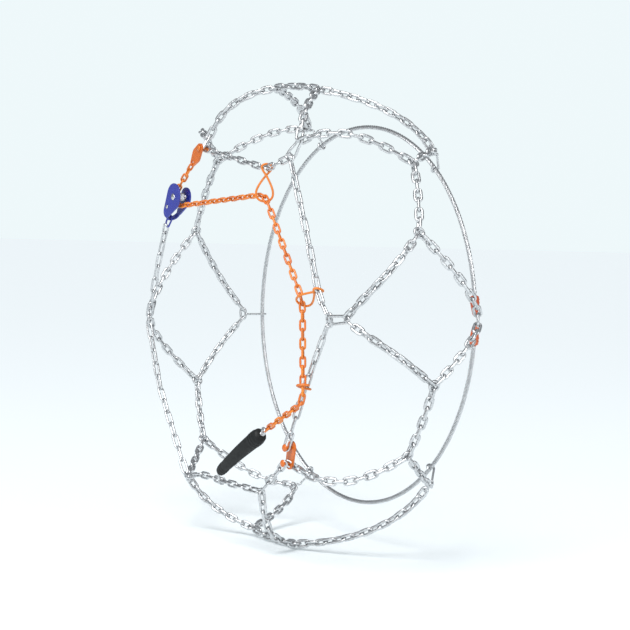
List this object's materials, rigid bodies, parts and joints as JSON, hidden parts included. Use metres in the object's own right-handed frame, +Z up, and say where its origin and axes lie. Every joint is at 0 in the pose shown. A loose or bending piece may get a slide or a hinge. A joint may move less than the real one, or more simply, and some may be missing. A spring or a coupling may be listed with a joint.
{
  "type": "tire snow chain",
  "caption": "Snow chain for a car tyre, in its fitted shape: diamond tread net of steel links, side chain, ratchet and tension chain with guide eyes, rubber tensioner and inner cable hoop.",
  "frame": {"origin": "centre of the wheel that the chains are fitted to, on its axle and in the middle of the tyre's width", "axes": "+Y runs along the axle from the outer side, with the ratchet, towards the car; +Z is up, and -Y looks away from the car"},
  "size_m": [0.6719, 0.2433, 0.6796],
  "materials": {
    "zinc": "bright zinc-plated steel",
    "orange_paint": "semi-gloss orange coating",
    "blue_paint": "semi-gloss dark blue coating",
    "red_paint": "semi-gloss red-orange coating",
    "black_rubber": "matte black rubber",
    "cable_steel": "stranded steel cable"
  },
  "bodies": {
    "chain_net": {"closure_plate_05": "orange_paint", "closure_plate_11": "orange_paint", "closure_stud_05_lower": "orange_paint", "closure_stud_05_upper": "orange_paint", "closure_stud_11": "orange_paint", "guide_eye_03": "orange_paint", "guide_eye_04": "orange_paint", "guide_eye_12": "orange_paint", "inner_cable": "cable_steel", "inner_hook_01": "zinc", "inner_hook_05": "zinc", "inner_hook_07": "zinc", "inner_hook_09": "zinc", "inner_hook_11": "zinc", "inner_v_01": "zinc", "inner_v_03": "zinc", "inner_v_05": "zinc", "inner_v_07": "zinc", "inner_v_09": "zinc", "inner_v_11": "zinc", "outer_run_closure": "zinc", "outer_run_split": "zinc", "outer_v_01": "zinc", "outer_v_03": "zinc", "outer_v_07": "zinc", "outer_v_09": "zinc", "outer_v_11": "zinc", "pawl_pin": "zinc", "pawl_spring": "zinc", "ratchet_axle": "zinc", "ratchet_housing": "blue_paint", "ratchet_link": "blue_paint", "side_link_01": "zinc", "side_link_03": "zinc", "side_link_07": "zinc", "side_link_09": "zinc", "side_run_02": "zinc", "side_run_04": "zinc", "side_run_05": "zinc", "side_run_06": "zinc", "side_run_08": "zinc", "side_run_10": "zinc", "side_run_12": "zinc", "tension_chain": "orange_paint", "tread_run_02": "zinc", "tread_run_04": "zinc", "tread_run_06": "zinc", "tread_run_08": "zinc", "tread_run_10": "zinc", "tread_run_12": "zinc"},
    "pocket_wheel": {"pocket_wheel": "zinc"},
    "pawl": {"pawl": "blue_paint"},
    "rubber_tensioner": {"rubber_tensioner": "black_rubber", "tensioner_top_hook": "zinc", "tensioner_end_hook": "zinc"},
    "cable_hook_upper": {"cable_hook_upper": "red_paint"},
    "cable_hook_lower": {"cable_hook_lower": "red_paint"}
  },
  "joints": [
    {"name": "pocket_wheel_spin", "type": "hinge", "parent": "chain_net", "child": "pocket_wheel", "pos_m": [-0.164, -0.1185, 0.1712], "axis": [0, -1, 0], "continuous": true},
    {"name": "pawl_release", "type": "hinge", "parent": "chain_net", "child": "pawl", "pos_m": [-0.18286, -0.1185, 0.15625], "axis": [0, -1, 0], "range_deg": [0, 14], "stiffness_Nm_per_rad": 0.02, "springref_deg": -17.19},
    {"name": "rubber_tensioner_swing", "type": "hinge", "parent": "chain_net", "child": "rubber_tensioner", "pos_m": [-0.031, -0.1083, -0.2455], "axis": [0, -1, 0], "range_deg": [0, 20]},
    {"name": "cable_hook_upper_open", "type": "hinge", "parent": "chain_net", "child": "cable_hook_upper", "pos_m": [0.27996, 0.1045, 0.04134], "axis": [-0.1461, 0, 0.9893], "range_deg": [0, 60]},
    {"name": "cable_hook_lower_open", "type": "hinge", "parent": "chain_net", "child": "cable_hook_lower", "pos_m": [0.28184, 0.1045, -0.02565], "axis": [0.0906, 0, 0.9959], "range_deg": [0, 60]}
  ]
}
